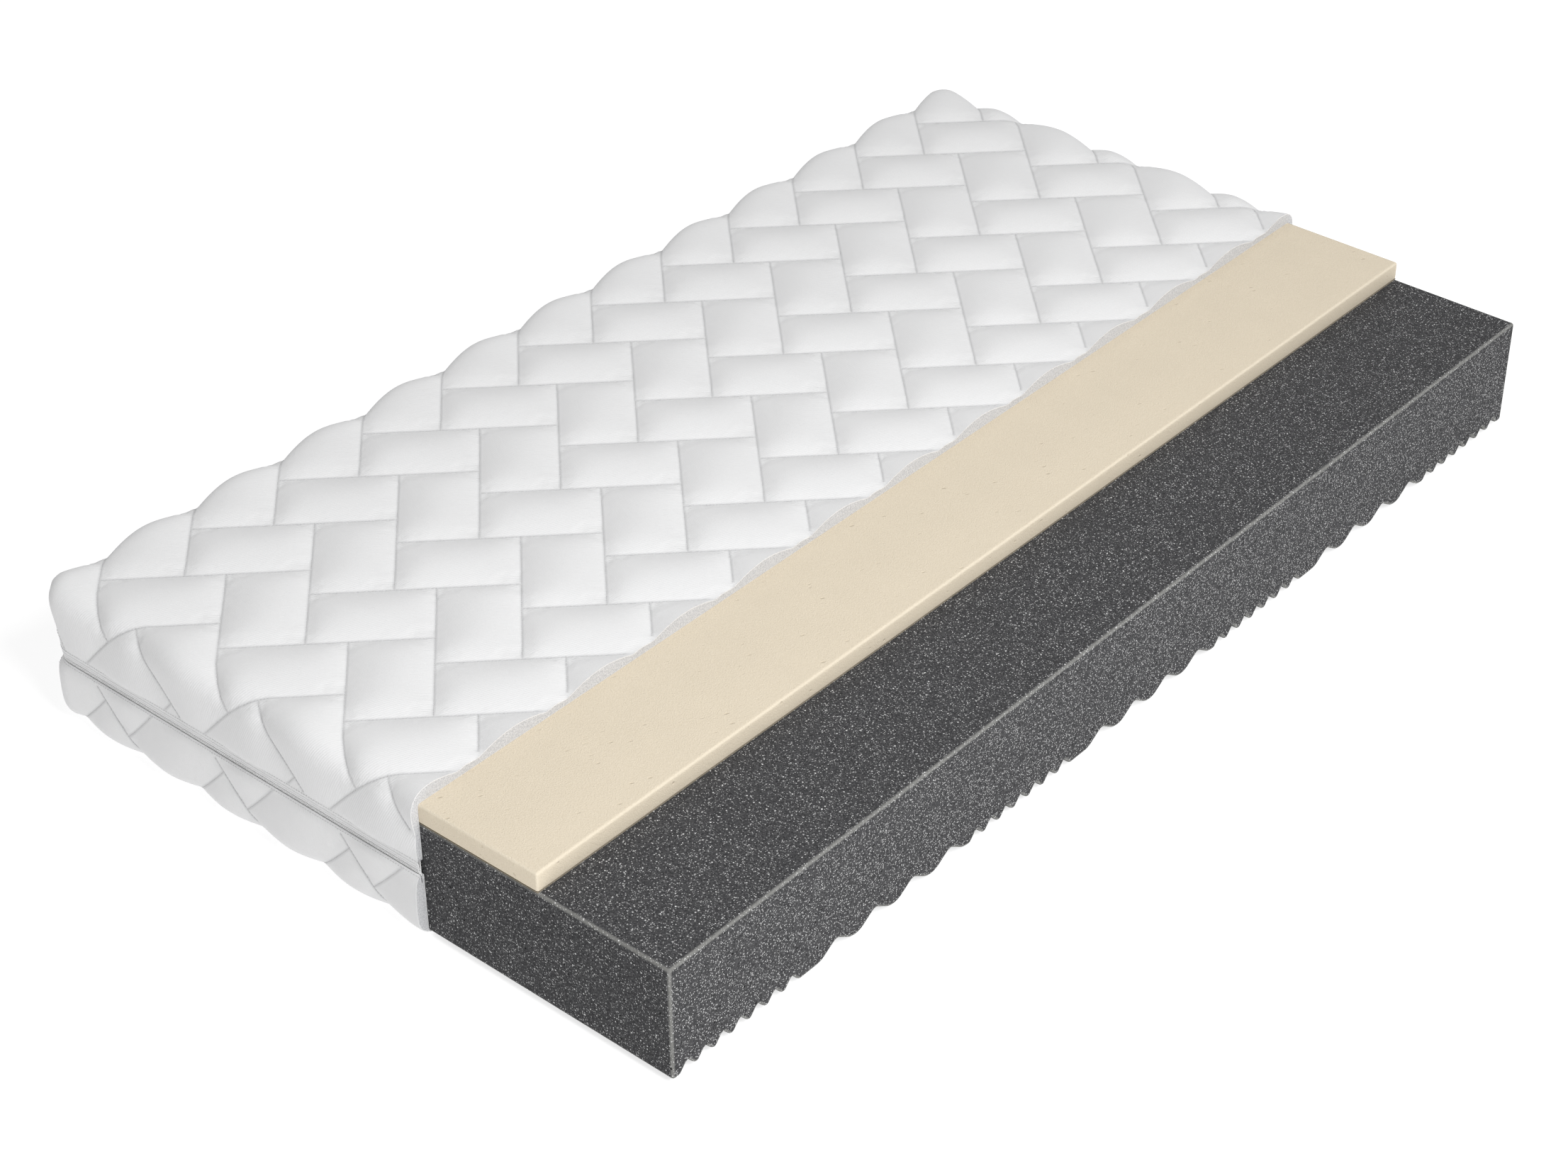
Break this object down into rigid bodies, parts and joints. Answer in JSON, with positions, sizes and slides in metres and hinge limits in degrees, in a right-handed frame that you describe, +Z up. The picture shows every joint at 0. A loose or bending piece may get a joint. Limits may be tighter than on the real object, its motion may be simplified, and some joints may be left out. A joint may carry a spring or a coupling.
{
  "type": "memory foam mattress",
  "caption": "Cutaway foam mattress: grooved base foam, memory foam sheet and a quilted two-part cover that a zip round its sides joins.",
  "frame": {"origin": "middle of the underside of the whole object, on the surface that it lies on", "axes": "+X across the width towards the bare long side, +Y along the length, +Z up"},
  "size_m": [1.1592, 1.9986, 0.2371],
  "materials": {
    "knit_fabric": "white quilted knit",
    "wadding": "grey fibre wadding",
    "lining": "thin nonwoven backing",
    "zip_tape": "woven tape",
    "zip_coil": "nylon coil",
    "thread": "polyester sewing thread",
    "core_foam": "dark grey open-cell foam with white flecks",
    "memory_foam": "beige memory foam",
    "glue": "dried water-based adhesive",
    "slider_metal": "white enamelled die-cast"
  },
  "bodies": {
    "bottom_cover": {"bottom_cover_fabric": "knit_fabric", "bottom_cover_wadding": "wadding", "bottom_cover_lining": "lining", "lower_zip_tape": "zip_tape", "lower_zip_coil": "zip_coil", "lower_zip_seam_thread": "thread", "bottom_corner_seam_threads": "thread", "zip_end_stop": "slider_metal"},
    "foam_core": {"core_foam": "core_foam", "glue_layer": "glue", "memory_foam": "memory_foam"},
    "top_cover": {"top_cover_fabric": "knit_fabric", "top_cover_wadding": "wadding", "top_cover_lining": "lining", "upper_zip_tape": "zip_tape", "upper_zip_coil": "zip_coil", "upper_zip_seam_thread": "thread", "top_corner_seam_threads": "thread"},
    "slider": {"zip_slider": "slider_metal"},
    "pull_tab": {"zip_pull_tab": "slider_metal"}
  },
  "joints": [
    {"name": "core_lift", "type": "slide", "parent": "bottom_cover", "child": "foam_core", "axis": [0, 0, 1], "range_m": [0, 0.3]},
    {"name": "top_cover_lift", "type": "slide", "parent": "foam_core", "child": "top_cover", "axis": [0, 0, 1], "range_m": [0, 0.3]},
    {"name": "zip_slide", "type": "slide", "parent": "bottom_cover", "child": "slider", "axis": [0, -1, 0], "range_m": [0, 1.78]},
    {"name": "pull_tab_hinge", "type": "hinge", "parent": "slider", "child": "pull_tab", "pos_m": [-0.57565, 0.9, 0.1103], "axis": [0, 0, 1], "range_deg": [0, 175]}
  ]
}
